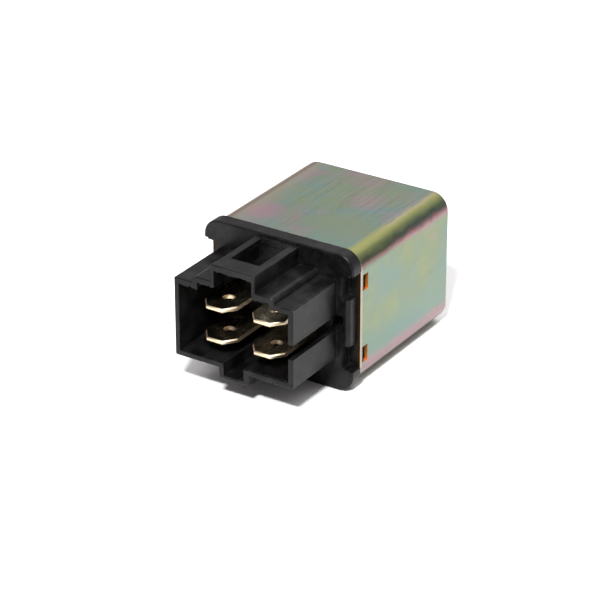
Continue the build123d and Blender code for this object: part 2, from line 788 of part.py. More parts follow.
with BuildPart() as resistor_leads:
    lead_len = coil_tails["coil_b"] + lead_lap - resistor_len / 2
    for side in (-1, 1):
        start = (side * resistor_len / 2, resistor_mid_y, resistor_z)
        with BuildSketch(Plane(origin=start, z_dir=(side, 0, 0))):
            Circle(lead_r)
        extrude(amount=lead_len)
resistor_leads.part.label = "resistor_leads"
export_step(resistor_leads.part, "parts/resistor_leads.step")

wire_depth = foot_top_y + wire_y
tail_top_z = coil_tail_z + blade_t / 2 + wire_r
with BuildPart() as coil_leads:
    for side, name in ((-1, "coil_a"), (1, "coil_b")):
        drop_x = coil_x + side * core_neck_r
        leave_z = coil_z - sqrt(tape_r ** 2 - core_neck_r ** 2) - wire_r
        turn_z = (leave_z + tail_top_z) / 2
        with BuildLine() as lead_path:
            FilletPolyline(
                (drop_x, wire_depth, leave_z),
                (drop_x, wire_depth, turn_z),
                (coil_tails[name] - side * tail_w / 2, wire_depth, tail_top_z),
                (coil_tails[name] + side * lead_lap, wire_depth, tail_top_z),
                radius=min(wire_bend, (leave_z - turn_z) / 2),
            )
        lead_wire = lead_path.wires()[0]
        with BuildSketch(Plane(origin=lead_wire @ 0, z_dir=lead_wire % 0)):
            Circle(wire_r)
        sweep(path=lead_wire)
coil_leads.part.label = "coil_leads"
export_step(coil_leads.part, "parts/coil_leads.step")
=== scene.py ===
"""Finishes and fine pieces of a plug-in relay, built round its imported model.

Metres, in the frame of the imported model: +X to the right, +Y from the connector to the closed end
of the can, +Z up, with the relay lying on the floor.
"""
import math
import random

import bmesh
import bpy
from bpy.props import FloatProperty, FloatVectorProperty, IntProperty, PointerProperty
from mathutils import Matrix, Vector


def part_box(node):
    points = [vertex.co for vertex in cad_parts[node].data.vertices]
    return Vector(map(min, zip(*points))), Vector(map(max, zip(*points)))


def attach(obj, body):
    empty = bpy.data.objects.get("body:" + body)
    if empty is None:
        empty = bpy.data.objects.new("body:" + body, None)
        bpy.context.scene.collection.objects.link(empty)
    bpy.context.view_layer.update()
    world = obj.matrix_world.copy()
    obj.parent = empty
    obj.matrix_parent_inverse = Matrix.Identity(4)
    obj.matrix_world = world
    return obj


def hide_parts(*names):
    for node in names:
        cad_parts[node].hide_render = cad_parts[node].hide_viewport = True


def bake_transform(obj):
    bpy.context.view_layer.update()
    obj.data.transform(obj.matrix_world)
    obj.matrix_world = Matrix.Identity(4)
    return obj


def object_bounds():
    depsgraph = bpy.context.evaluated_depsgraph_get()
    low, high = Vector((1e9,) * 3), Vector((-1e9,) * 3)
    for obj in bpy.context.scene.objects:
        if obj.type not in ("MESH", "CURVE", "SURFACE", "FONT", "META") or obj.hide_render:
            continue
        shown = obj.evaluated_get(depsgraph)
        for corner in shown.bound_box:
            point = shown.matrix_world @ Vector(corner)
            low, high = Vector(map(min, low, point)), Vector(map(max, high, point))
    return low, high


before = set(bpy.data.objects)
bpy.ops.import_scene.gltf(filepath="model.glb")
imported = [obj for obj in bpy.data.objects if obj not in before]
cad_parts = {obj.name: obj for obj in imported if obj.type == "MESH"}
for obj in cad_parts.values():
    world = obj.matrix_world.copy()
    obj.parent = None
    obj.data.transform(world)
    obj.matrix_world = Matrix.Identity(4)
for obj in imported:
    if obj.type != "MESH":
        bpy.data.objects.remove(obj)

bl_info = {
    "name": "Plug-in relay finishes",
    "version": (1, 0, 0),
    "blender": (4, 5, 0),
    "location": "3D View > Sidebar > Relay",
    "description": "Builds the finishes and fine pieces of a plug-in relay round its frame",
    "category": "Object",
}

MM = 0.001
CAD_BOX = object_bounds()
BOX = {node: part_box(node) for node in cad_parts}
X_AXIS = Vector((1, 0, 0))
Y_AXIS = Vector((0, 1, 0))

# torn edges: their random seed, how much coarser the lip is than the flash, how rare long teeth
# are, how deep the root sits in the edge, a tooth's least height, and the angle that stays sharp
TORN_SEED = 11
LIP_COARSER = 1.6
FEW_TALL = 1.8
ROOT_SINK = 0.05 * MM
LEAST_TOOTH = 0.01 * MM
TORN_ANGLE = math.radians(20)


# -------- settings
def colour(name, where, default):
    """A colour that a user can change, and where it is seen."""
    return FloatVectorProperty(name=name, description="Colour: " + where, default=default,
                               subtype="COLOR", size=3, min=0.0, max=1.0)


def length(name, description, default):
    """A length that a user can change, given in millimetres and kept in metres."""
    return FloatProperty(name=name, description=description, default=default * MM, min=0.0,
                         subtype="DISTANCE", unit="LENGTH", precision=5)


def share(name, description, default):
    """A share from 0 to 1 that a user can change."""
    return FloatProperty(name=name, description=description, default=default, min=0.0, max=1.0,
                         subtype="FACTOR")


def number(name, description, default, low, high):
    """A number that a user can change."""
    return FloatProperty(name=name, description=description, default=default, min=low, max=high)


def bearing(name, description, degrees):
    """An angle that a user can change, given in degrees and kept in radians."""
    return FloatProperty(name=name, description=description, default=math.radians(degrees),
                         subtype="ANGLE", unit="ROTATION")


def power(name, description, watts):
    """A lamp's power that a user can change, in watts."""
    return FloatProperty(name=name, description=description, default=watts, min=0.0,
                         subtype="POWER")


class RelayFinishSettings(bpy.types.PropertyGroup):
    """Colours and gloss of the relay's finishes."""
    plastic: colour("Base plastic", "moulded base", (0.002, 0.002, 0.0022))
    plastic_scuffed: colour("Scuffed plastic", "base where it is rubbed", (0.010, 0.0095, 0.010))
    plastic_gloss: share("Plastic roughness", "Mean roughness of the moulded base", 0.36)
    zinc_rest: colour("Chromate grey green", "most of the plated can", (0.190, 0.238, 0.168))
    zinc_mauve: colour("Chromate mauve", "pink clouds in the plating", (0.285, 0.200, 0.225))
    zinc_cyan: colour("Chromate cyan", "cool clouds in the plating", (0.160, 0.245, 0.225))
    zinc_yellow: colour("Chromate yellow", "yellow clouds in the plating", (0.235, 0.265, 0.125))
    zinc_gold: colour("Chromate gold", "along the bends of the can", (0.262, 0.270, 0.103))
    zinc_green: colour("Chromate green", "beside the gold along the bends", (0.180, 0.225, 0.100))
    # partly painted reflection: the darkest band is partly the plating's colour and partly a dark
    # surround reflected in the bends
    zinc_dark_film_and_reflection: colour("Chromate dark green", "darkest band along the bends, partly painted reflection", (0.080, 0.098, 0.060))
    zinc_teal: colour("Chromate teal", "coolest band along the bends", (0.085, 0.120, 0.100))
    zinc_tan: colour("Chromate tan", "warm band on the top beside the gold", (0.340, 0.300, 0.190))
    zinc_maroon: colour("Chromate maroon", "red band along the bends", (0.230, 0.125, 0.125))
    zinc_pink: colour("Chromate pink", "along the lower edge of the can", (0.330, 0.205, 0.225))
    # painted light: the top's colour is brightened over the sides for the brighter light it reflects
    zinc_top_painted_light: number("Top lift", "How much the top is brightened over the sides, as painted light", 1.5, 0.5, 3.0)
    zinc_peach: colour("Chromate peach", "bends on the left", (0.335, 0.265, 0.215))
    # painted highlight: a pale strip on the sides beside the open end
    zinc_rim_highlight: colour("Can rim", "painted highlight strip beside the can's open end", (0.400, 0.350, 0.290))
    # partly painted light: the windows' edges carry the yellow plating, deepened to orange as painted
    # interreflection
    zinc_punched_interreflection: colour("Punched edge", "edges of the can's windows, deepened to orange as painted interreflection", (0.760, 0.290, 0.055))
    # painted shade: the near-black of the cut edge in the flange's shadow and of the lower bends
    zinc_painted_shade: colour("Cropped edge", "painted shade on the cut edge of the open end and under the lower bends", (0.050, 0.026, 0.012))
    zinc_roughness: share("Plating roughness", "Mean roughness of the plated can", 0.34)
    brass: colour("Brass", "flat tabs", (0.74, 0.66, 0.48))
    sheared_brass: colour("Sheared brass", "tabs' sheared edges", (1.0, 0.77, 0.53))
    iron: colour("Plated iron", "magnet's iron parts", (0.46, 0.47, 0.46))
    nylon: colour("Bobbin nylon", "bobbin", (0.52, 0.47, 0.36))
    enamel: colour("Wire enamel", "enamelled copper wire", (0.62, 0.20, 0.06))
    tape: colour("Coil tape", "polyester tape", (0.52, 0.34, 0.05))
    leaf: colour("Spring copper", "contact arm", (0.82, 0.46, 0.28))
    silver: colour("Contact silver", "contacts", (0.86, 0.85, 0.81))
    steel: colour("Spring steel", "return spring", (0.42, 0.42, 0.43))
    braid: colour("Copper braid", "flexible lead", (0.80, 0.42, 0.24))
    lacquer: colour("Resistor lacquer", "resistor's body", (0.20, 0.33, 0.44))
    tin: colour("Tinned wire", "tinned wires and solder", (0.72, 0.73, 0.74))


class RelayPieceSettings(bpy.types.PropertyGroup):
    """Sizes of the fine pieces."""
    rim_half: length("Rim half width", "Half width inside the socket's rim", 10.7)
    rim_floor: length("Rim floor", "Height of the floor inside the socket's rim", 7.0)
    rim_ceiling: length("Rim ceiling", "Height of the low ceiling inside the socket's rim", 19.5)
    platform_half: length("Platform half width", "Half width under the raised platform", 7.1)
    platform_rise: length("Platform rise", "Rise of the ceiling under the raised platform", 1.1)
    bridge_half: length("Bridge half width", "Half width under the latch bridge", 3.7)
    bridge_rise: length("Bridge rise", "Rise of the ceiling under the latch bridge", 4.1)
    key_half: length("Key half width", "Half width of the polarising groove", 2.0)
    plastic_edge: length("Plastic edge", "Radius on the edges of the moulded base", 0.14)
    flash_setback: length("Flash setback", "Depth of the mould flash behind the rim's front", 0.14)
    flash_reach: length("Flash reach", "Longest tooth of the mould flash on the rim", 0.72)
    flash_t: length("Flash thickness", "Thickness of the mould flash", 0.09)
    flash_step: length("Flash step", "Spacing of the teeth of the mould flash", 0.17)
    burr_reach: length("Burr reach", "Longest tooth of the torn lip over the can", 0.5)
    burr_t: length("Burr thickness", "Thickness of the torn lip over the can", 0.16)
    magnet_wire: length("Magnet wire", "Diameter of the enamelled wire in the winding", 0.2)
    winding_depth: length("Winding depth", "Depth of the turns of wire on the bobbin", 1.6)
    tape_t: length("Tape thickness", "Thickness of one turn of the coil tape", 0.05)
    tape_turns: number("Tape turns", "Turns of tape round the coil", 2.2, 1.0, 6.0)
    spring_wire: length("Spring wire", "Diameter of the return spring's wire", 0.3)
    spring_pitch: length("Spring pitch", "Advance of one turn of the return spring", 0.48)
    spring_turns: IntProperty(name="Spring turns", description="Number of turns of the return spring",
                              default=12, min=3, max=30)
    spring_turn_in: length("Spring turn in", "Length of the turn between a hook and the coil", 0.7)
    strand: length("Strand", "Diameter of one strand of the flexible lead", 0.3)
    strands: IntProperty(name="Strands", description="Number of strands in the flexible lead",
                         default=7, min=3, max=19)
    strand_lay: length("Strand lay", "Advance of one twist of the flexible lead", 3.2)
    lead_flattened: length("Lead flattening", "How far the lead is pressed on the contact arm", 0.25)
    lead_weld: length("Lead weld", "Length of the lead's weld on the contact arm", 1.6)
    lead_sag: length("Lead sag", "How far the lead sinks at the start of its weld", 0.07)
    lead_foot: length("Lead foot", "Distance from the lead's end to where it comes down", 5.0)
    lead_bend: length("Lead bend", "Radius of the lead's bends", 0.9)
    lead_step: length("Lead step", "Spacing of the points along the lead", 0.12)
    edge: length("Edge radius", "Radius on the sheared edges of the tabs", 0.07)
    pebble: length("Surface grain", "Size of the grain of the moulded plastic", 0.12)


class RelayStudioSettings(bpy.types.PropertyGroup):
    """Camera, lights and floor."""
    azimuth: bearing("Azimuth", "Camera's turn to the right of the connector", 32.70)
    elevation: bearing("Elevation", "Camera's rise above the horizon", 26.67)
    distance: length("Distance", "Camera's distance from its aim", 454.7)
    aim: FloatVectorProperty(name="Aim", description="Point that the camera looks at", size=3,
                             default=(2.17 * MM, -4.135 * MM, 11.169 * MM), subtype="TRANSLATION",
                             unit="LENGTH")
    lens: number("Lens", "Focal length in millimetres on a 36 mm sensor", 159.1, 1.0, 5000.0)
    floor_half: length("Floor", "Half of the floor's width", 3000)
    floor_tint: colour("Floor colour", "pale floor", (0.90, 0.90, 0.90))
    sky: number("Sky", "Strength of the light from all round", 0.5, 0.0, 100.0)
    sky_tint: colour("Sky colour", "light from all round", (1.0, 0.95, 0.95))
    key: power("Key light", "Power of the main soft light", 11.0)
    key_width: length("Key width", "Width of the main soft light", 110)
    key_height: length("Key height", "Height of the main soft light", 50)
    key_azimuth: bearing("Key azimuth", "Turn of the main light to the right", 21.5)
    key_elevation: bearing("Key elevation", "Rise of the main light", 48.5)
    back: power("Back light", "Power of the soft light behind", 7.0)
    back_width: length("Back width", "Width of the soft light behind", 1200)
    back_height: length("Back height", "Height of the soft light behind", 1000)
    back_azimuth: bearing("Back azimuth", "Turn of the light behind to the right", 166)
    back_elevation: bearing("Back elevation", "Rise of the light behind", 70)
    light_distance: length("Light distance", "Distance of the soft lights", 900)


# -------- node helpers
def tree_of(*values):
    """The tree of the first node's result among some values."""
    return next(v.id_data for v in values if isinstance(v, bpy.types.NodeSocket))


def feed(socket, value):
    """Link a socket to a node's result, or set it to a constant."""
    if isinstance(value, bpy.types.NodeSocket):
        socket.id_data.links.new(value, socket)
    elif socket.type == "RGBA":
        socket.default_value = (*value, 1.0)
    else:
        socket.default_value = value


def put(tree, kind, inputs=None, **attributes):
    """Add a shader node, set its attributes, and feed its inputs."""
    made = tree.nodes.new("ShaderNode" + kind)
    for key, value in attributes.items():
        setattr(made, key, value)
    for key, value in (inputs or {}).items():
        feed(made.inputs[key], value)
    return made


def sums(operation, *values):
    """A math node's result."""
    return put(tree_of(*values), "Math", dict(enumerate(values)), operation=operation).outputs[0]


def plus(first, second):
    """Two values added."""
    return sums("ADD", first, second)


def times(first, second):
    """Two values multiplied."""
    return sums("MULTIPLY", first, second)


def either(factor, first, second):
    """Two values mixed by a factor."""
    inputs = {0: factor, 2: first, 3: second}
    return put(tree_of(factor), "Mix", inputs, data_type="FLOAT").outputs[0]


def dimmed(tint, part):
    """A colour with a part of its brightness."""
    return tuple(channel * part for channel in tint)


def places(tree, stretch=(1.0, 1.0, 1.0)):
    """The piece's own coordinates in millimetres, stretched along each axis."""
    own = put(tree, "TexCoord").outputs["Object"]
    scale = tuple(s / MM for s in stretch)
    return put(tree, "Mapping", {"Vector": own, "Scale": scale}).outputs[0]


def clouds(tree, size, stretch=(1.0, 1.0, 1.0), detail=2.0, seed=0.0, distortion=0.0):
    """Noise from 0 to 1 with features about size millimetres across."""
    return put(tree, "TexNoise", {
        "Vector": places(tree, stretch), "W": seed, "Scale": 1 / size, "Detail": detail,
        "Distortion": distortion,
    }, noise_dimensions="4D").outputs["Fac"]


def between(value, low, high, out_low=0.0, out_high=1.0):
    """A value carried smoothly from one range to another."""
    return put(tree_of(value), "MapRange", {
        "Value": value, "From Min": low, "From Max": high, "To Min": out_low, "To Max": out_high,
    }, interpolation_type="SMOOTHSTEP").outputs["Result"]


def blend_of(factor, first, second, mode="MIX"):
    """Two colours mixed by a factor."""
    inputs = {0: factor, 6: first, 7: second}
    tree = tree_of(factor, first, second)
    return put(tree, "Mix", inputs, data_type="RGBA", blend_type=mode).outputs[2]


def layered(tint, *layers):
    """A tint with more colours laid over it, each by its own factor."""
    for factor, over in layers:
        tint = blend_of(factor, tint, over)
    return tint


def parts(vector):
    """The X, Y and Z of a vector."""
    return put(tree_of(vector), "SeparateXYZ", {0: vector}).outputs


def facing(tree):
    """The X, Y and Z of the way that the surface faces, in the piece's own axes."""
    return parts(put(tree, "TexCoord").outputs["Normal"])


def banded(factor, stops):
    """A colour ramp with the given (place, colour) stops."""
    ramp = put(tree_of(factor), "ValToRGB", {"Fac": factor})
    elements = ramp.color_ramp.elements
    while len(elements) < len(stops):
        elements.new(1.0)
    for element, (place, tint) in zip(elements, stops):
        element.position = place
        element.color = (*tint, 1.0)
    return ramp.outputs["Color"]


def relief(height, depth, strength=1.0, under=None):
    """A bump of the given depth in millimetres, on top of another bump."""
    inputs = {"Height": height, "Distance": depth * MM, "Strength": strength}
    if under is not None:
        inputs["Normal"] = under
    return put(tree_of(height), "Bump", inputs).outputs["Normal"]


def finish_named(name, metallic=0.0):
    """A new material with its tree and its shader."""
    made = bpy.data.materials.new(name)
    made.use_nodes = True
    shader = made.node_tree.nodes["Principled BSDF"]
    shader.inputs["Metallic"].default_value = metallic
    return made, made.node_tree, shader


def wire_up(shader, **sockets):
    """Link or set the shader's sockets, named with underscores for spaces."""
    for key, value in sockets.items():
        feed(shader.inputs[key.replace("_", " ")], value)


# -------- finishes
def satin_plastic(tints, pebble, edge):
    """Black moulded plastic: satin, faintly mottled, with fine grain and rubbed patches."""
    made, tree, shader = finish_named("satin_plastic")
    mottle = clouds(tree, 2.6, detail=5.0, seed=1.3)
    drag = clouds(tree, 0.5, stretch=(1.0, 0.12, 1.0), detail=3.0, seed=4.1)
    grain = clouds(tree, pebble / MM, detail=3.0, seed=7.7)
    sink = clouds(tree, 4.5, detail=1.0, seed=2.2)
    rubbed = between(plus(mottle, times(drag, 0.35)), 0.58, 0.86)
    rounded = put(tree, "Bevel", {"Radius": edge}, samples=6).outputs["Normal"]
    sunk = relief(sink, 0.05, 0.5, rounded)
    gloss = tints.plastic_gloss
    wire_up(shader,
            Base_Color=blend_of(rubbed, tints.plastic, tints.plastic_scuffed),
            Roughness=between(drag, 0.2, 0.8, gloss - 0.06, gloss + 0.08),
            Specular_IOR_Level=0.21, Normal=relief(grain, 0.012, 0.7, sunk))
    return made


class ZincSheet:
    """Where a point of the can lies, which way it faces, and the clouds in its plating.

    Places along the can run from front to back, in millimetres.
    """

    GRAIN = (1.0, 0.8, 1.0)
    BRUSHED = (1.0, 0.02, 1.0)
    # centre and radius of the mauve patches on the top, in millimetres
    LEFT_PATCH = ((-8.5, -0.5, 24.7), 5.5)
    REAR_PATCH = ((4.5, 12.0, 24.7), 5.0)

    def __init__(self, tree, front, back):
        self.front = front
        self.back = back
        self.lie = facing(tree)
        self.place = places(tree)
        self.spot = parts(self.place)
        self.up = sums("ABSOLUTE", self.lie["Z"])
        self.out = sums("ABSOLUTE", self.lie["X"])
        self.wander = clouds(tree, 9.0, self.GRAIN, detail=2.0, seed=3.0, distortion=0.4)
        self.small = clouds(tree, 2.4, self.GRAIN, detail=3.0, seed=9.0, distortion=0.6)
        self.cool = clouds(tree, 7.0, self.GRAIN, detail=2.0, seed=21.0, distortion=0.4)
        self.streak = clouds(tree, 0.22, self.BRUSHED, detail=4.0, seed=5.0)
        self.drift = sums("SUBTRACT", self.small, 0.5)
        self.fret = times(self.drift, 0.5)
        self.pinker = between(plus(self.wander, self.fret), 0.50, 0.72)
        self.cooler = between(plus(self.cool, self.fret), 0.42, 0.68)

    def blotch(self, centre, radius):
        """A soft round patch about a point, with its edge broken up."""
        ends = {0: self.place, 1: centre}
        away = put(tree_of(self.place), "VectorMath", ends, operation="DISTANCE")
        ragged = plus(sums("DIVIDE", away.outputs["Value"], radius), self.fret)
        return between(ragged, 1.0, 0.2)

    def top(self, tints):
        """Grey green with cool and mauve clouds, warmer towards the left bend, and brightened all
        over as painted light.
        """
        blotched = sums("MAXIMUM", self.blotch(*self.LEFT_PATCH),
                        times(self.blotch(*self.REAR_PATCH), 0.6))
        by_flange = between(self.spot["Y"], self.front + 9.0, self.front + 1.0, 0.0, 0.6)
        mauve = sums("MAXIMUM", times(self.pinker, 0.6), blotched)
        by_left_bend = times(between(self.spot["X"], -7.0, -13.0), 0.7)
        tint = layered(tints.zinc_rest, (self.cooler, tints.zinc_cyan),
                       (by_flange, tints.zinc_cyan), (mauve, tints.zinc_mauve),
                       (by_left_bend, tints.zinc_peach))
        # painted light: the whole top is brightened, standing in for the light it reflects
        return blend_of(1.0, tint, (tints.zinc_top_painted_light,) * 3, mode="MULTIPLY")

    def sides(self, tints):
        """Grey green with yellow clouds, cooler low down and pinker towards the closed end."""
        warm = plus(times(self.cool, -1.0), plus(self.small, 0.5))
        yellower = between(warm, 0.36, 0.78, 0.15, 1.0)
        low_down = between(self.spot["Z"], 13.0, 5.0, 0.0, 0.7)
        rearward = between(self.spot["Y"], self.back - 16.0, self.back - 2.0)
        mauve = times(times(rearward, self.pinker), 0.8)
        return layered(tints.zinc_rest, (times(self.cooler, 0.8), tints.zinc_cyan),
                       (times(yellower, 0.7), tints.zinc_yellow),
                       (low_down, tints.zinc_cyan), (mauve, tints.zinc_mauve))

    def bends(self, tints):
        """Gold, green and dark bands on the right, redder towards the closed end; the dark bands are
        partly painted reflection, and the downward-facing bends get painted shade.
        """
        turn = sums("DIVIDE", sums("ARCTAN2", self.up, self.out), math.pi / 2)
        place_round = plus(turn, times(self.drift, 0.35))
        # the bands are the plating's interference colours; the dark band is partly painted reflection
        near = banded(place_round, (
            (0.04, tints.zinc_rest), (0.16, tints.zinc_maroon), (0.28, tints.zinc_dark_film_and_reflection),
            (0.46, tints.zinc_green), (0.64, tints.zinc_gold), (0.92, tints.zinc_gold),
        ))
        far = banded(place_round, (
            (0.05, tints.zinc_pink), (0.20, tints.zinc_maroon), (0.36, tints.zinc_teal),
            (0.54, tints.zinc_green), (0.72, tints.zinc_gold), (0.86, tints.zinc_tan),
            (0.96, tints.zinc_rest),
        ))
        along = between(self.spot["Y"], self.front, self.back)
        leftward = sums("LESS_THAN", self.lie["X"], 0.0)
        # painted shade: downward-facing bends are darkened as if in the floor's contact shadow
        shaded_underside = sums("LESS_THAN", self.lie["Z"], -0.02)
        return layered(near, (between(along, 0.12, 0.55), far),
                       (leftward, tints.zinc_peach),
                       (times(shaded_underside, 0.75), tints.zinc_painted_shade))

    def hemmed(self, tints, tint):
        """A tint with a pink hem low on the sides and a painted highlight strip beside the open end.
        """
        wavering = plus(self.spot["Z"], times(self.drift, 3.0))
        hem = times(between(wavering, 5.6, 3.6), between(self.out, 0.8, 0.98))
        # painted highlight: pale strip on the sides just behind the open end
        beside = between(self.spot["Y"], self.front + 0.75, self.front + 0.35)
        strip = times(beside, between(self.out, 0.3, 0.8))
        return layered(tint, (times(hem, 0.8), tints.zinc_pink),
                       (times(strip, 0.9), tints.zinc_rim_highlight))

    def punched(self, wall_inside, windows_end):
        """1 on the edges of the windows, which lie within the thickness of the side walls."""
        across = sums("LESS_THAN", self.out, 0.5)
        in_wall = sums("GREATER_THAN", sums("ABSOLUTE", self.spot["X"]), wall_inside)
        near_front = sums("LESS_THAN", self.spot["Y"], self.front + windows_end)
        return times(times(across, in_wall), near_front)

    def cropped(self):
        """1 on the cut edge of the open end."""
        at_front = sums("LESS_THAN", self.spot["Y"], self.front + 0.05)
        endways = sums("GREATER_THAN", sums("ABSOLUTE", self.lie["Y"]), 0.5)
        return times(at_front, endways)


def chromate_zinc(tints, front, back):
    """Yellow-passivated zinc: brushed sheet with soft rainbow clouds and bands along the bends, and
    painted light and shade on its top, rim, edges and undersides.
    """
    made, tree, shader = finish_named("chromate_zinc", metallic=1.0)
    sheet = ZincSheet(tree, front, back)
    faces = blend_of(between(sheet.up, 0.3, 0.7), sheet.sides(tints), sheet.top(tints))
    rounded = times(between(sheet.up, 0.02, 0.14), between(sheet.out, 0.02, 0.16))
    body = sheet.hemmed(tints, blend_of(rounded, faces, sheet.bends(tints)))
    brushed = between(sheet.streak, 0.25, 0.75, 0.0, 0.05)
    wiped = blend_of(brushed, body, (0.25, 0.26, 0.24))
    # the windows' edges: plating colour, deepened to orange as painted interreflection
    punched = sheet.punched(wall_inside=14.05, windows_end=4.0)
    # painted shade: the open end's cut edge is made near-black as if in the flange's shadow
    cut = layered(wiped, (punched, tints.zinc_punched_interreflection), (sheet.cropped(), tints.zinc_painted_shade))
    satin = tints.zinc_roughness
    rough = between(sheet.streak, 0.2, 0.8, satin - 0.05, satin + 0.07)
    dented = relief(sheet.wander, 0.05, 0.3)
    wire_up(shader, Base_Color=cut, Roughness=either(punched, rough, 0.6),
            Normal=relief(sheet.streak, 0.003, 0.3, dented))
    return made


def rolled_metal(name, tint, roughness, wear=0.6, grain=(1.0, 0.05, 1.0), sheared=None):
    """Rolled or drawn metal with fine grain lines, dulled patches and sheared edges."""
    made, tree, shader = finish_named(name, metallic=1.0)
    lines = clouds(tree, 0.16, grain, detail=4.0, seed=2.0)
    dull = clouds(tree, 1.9, detail=3.0, seed=6.0)
    dulled = between(dull, 0.45, 0.8, 0.0, 0.7)
    face = blend_of(dulled, tint, dimmed(tint, wear))
    mixed = plus(times(lines, 0.4), times(dull, 0.6))
    rough = between(mixed, 0.3, 0.7, roughness - 0.05, roughness + 0.1)
    bump = relief(lines, 0.001, 0.4)
    if sheared is not None:
        side = between(sums("ABSOLUTE", facing(tree)["Z"]), 0.97, 0.8)
        tear = clouds(tree, 0.13, (1.0, 1.0, 0.16), detail=3.0, seed=8.0)
        bright = blend_of(between(tear, 0.35, 0.75), sheared, tint)
        face = blend_of(side, face, bright)
        rough = either(side, rough, 0.42)
        bump = relief(times(tear, side), 0.02, 0.6, bump)
    wire_up(shader, Base_Color=face, Roughness=rough, Normal=bump)
    return made


def moulded_nylon(tint):
    """Glass-filled nylon of the bobbin, slightly translucent, with flow marks."""
    made, tree, shader = finish_named("moulded_nylon")
    flow = clouds(tree, 1.6, (1.0, 0.4, 1.0), detail=4.0, seed=1.0, distortion=1.2)
    fibre = clouds(tree, 0.09, (1.0, 0.2, 1.0), detail=3.0, seed=3.0)
    marks = between(flow, 0.3, 0.7)
    wire_up(shader,
            Base_Color=blend_of(marks, tint, dimmed(tint, 0.82)),
            Roughness=between(fibre, 0.3, 0.7, 0.38, 0.55), Subsurface_Weight=0.12,
            Subsurface_Scale=0.5 * MM, Normal=relief(fibre, 0.008, 0.5))
    return made


def lacquered(name, tint, roughness, size=0.5, metallic=0.0):
    """Enamel, tape or lacquer: even colour with slight clouding under a clear coat."""
    made, tree, shader = finish_named(name, metallic)
    cloud = clouds(tree, size, detail=4.0, seed=4.0)
    speck = clouds(tree, size / 6, detail=2.0, seed=8.0)
    clouded = between(cloud, 0.3, 0.75)
    wire_up(shader,
            Base_Color=blend_of(clouded, tint, dimmed(tint, 0.72)),
            Roughness=between(speck, 0.3, 0.7, roughness - 0.05, roughness + 0.08),
            Coat_Weight=0.6, Coat_Roughness=0.12, Normal=relief(cloud, 0.01, 0.6))
    return made


def floor_paper(tint):
    """Pale seamless paper with a faint tooth."""
    made, tree, shader = finish_named("seamless_paper")
    tooth = clouds(tree, 0.8, detail=3.0, seed=1.0)
    wire_up(shader, Base_Color=blend_of(tooth, tint, dimmed(tint, 0.985)),
            Roughness=0.85, Specular_IOR_Level=0.2)
    return made


# -------- mesh helpers
def piece_from(maker, name, finish, smooth_angle=math.radians(35)):
    """A new object from a bmesh, smooth apart from its sharp edges."""
    maker.normal_update()
    for face in maker.faces:
        face.smooth = True
    for edge in maker.edges:
        edge.smooth = edge.is_manifold and edge.calc_face_angle(0.0) < smooth_angle
    mesh = bpy.data.meshes.new(name)
    maker.to_mesh(mesh)
    maker.free()
    mesh.materials.append(finish)
    piece = bpy.data.objects.new(name, mesh)
    bpy.context.scene.collection.objects.link(piece)
    return piece


def ring_of(maker, centre, across, other, radius, sides):
    """New points in a circle round a centre."""
    return [
        maker.verts.new(centre + (across * math.cos(a) + other * math.sin(a)) * radius)
        for a in (math.tau * k / sides for k in range(sides))
    ]


def skin(maker, rings):
    """Faces from each ring of points to the next, and over both ends."""
    sides = len(rings[0])
    for low, high in zip(rings, rings[1:]):
        for k in range(sides):
            after = (k + 1) % sides
            maker.faces.new((low[k], low[after], high[after], high[k]))
    maker.faces.new(rings[0][::-1])
    maker.faces.new(rings[-1])


def add_tube(maker, points, radius, sides=8):
    """A round tube along points, with closed ends."""
    ahead = [(b - a).normalized() for a, b in zip(points, points[1:])]
    middle = [(a + b).normalized() for a, b in zip(ahead, ahead[1:])]
    tangents = [ahead[0], *middle, ahead[-1]]
    across = tangents[0].orthogonal().normalized()
    rings = []
    for point, tangent in zip(points, tangents):
        across = (across - tangent * across.dot(tangent)).normalized()
        rings.append(ring_of(maker, point, across, tangent.cross(across), radius, sides))
    skin(maker, rings)


def add_lathe(maker, profile, origin, axis, side, segments=48):
    """A solid turned from (along, radius) points about an axis through origin."""
    other = axis.cross(side)
    skin(maker, [
        ring_of(maker, origin + axis * along, side, other, radius, segments)
        for along, radius in profile
    ])


def rounded_path(corners, radius, steps=6):
    """Points along straight runs joined by arcs, from corner points."""
    corners = [Vector(c) for c in corners]
    path = [corners[0]]
    for before, corner, after in zip(corners, corners[1:], corners[2:]):
        back = (before - corner).normalized()
        on = (after - corner).normalized()
        half_turn = (math.pi - back.angle(on)) / 2
        reach = radius * math.tan(half_turn)
        start = corner + back * reach
        end = corner + on * reach
        for k in range(steps + 1):
            t = k / steps
            path.append(start * (1 - t) ** 2 + corner * 2 * t * (1 - t) + end * t ** 2)
    path.append(corners[-1])
    return path


def evenly(path, spacing):
    """The same path with points at even spacing."""
    out = [path[0]]
    left = spacing
    for a, b in zip(path, path[1:]):
        run = (b - a).length
        at = left
        while at < run:
            out.append(a.lerp(b, at / run))
            at += spacing
        left = at - run
    out.append(path[-1])
    return out


def twisted(path, radius, turns_per_length, phase):
    """A strand wound round a path."""
    across = (path[1] - path[0]).orthogonal().normalized()
    last = len(path) - 1
    strand = []
    travelled = 0.0
    for step, point in enumerate(path):
        tangent = (path[min(step + 1, last)] - path[max(step - 1, 0)]).normalized()
        across = (across - tangent * across.dot(tangent)).normalized()
        if step:
            travelled += (point - path[step - 1]).length
        angle = phase + math.tau * travelled * turns_per_length
        outward = across * math.cos(angle) + tangent.cross(across) * math.sin(angle)
        strand.append(point + outward * radius)
    return strand


def along_y(node):
    """A node's low and high corners, its centre, and its radius about an axis along Y."""
    low, high = BOX[node]
    return low, high, (low + high) / 2, (high.x - low.x) / 2


def around(centre, angle, radius, y):
    """A point at an angle and a radius round an axis along Y."""
    return Vector((centre.x + math.cos(angle) * radius, y, centre.z + math.sin(angle) * radius))


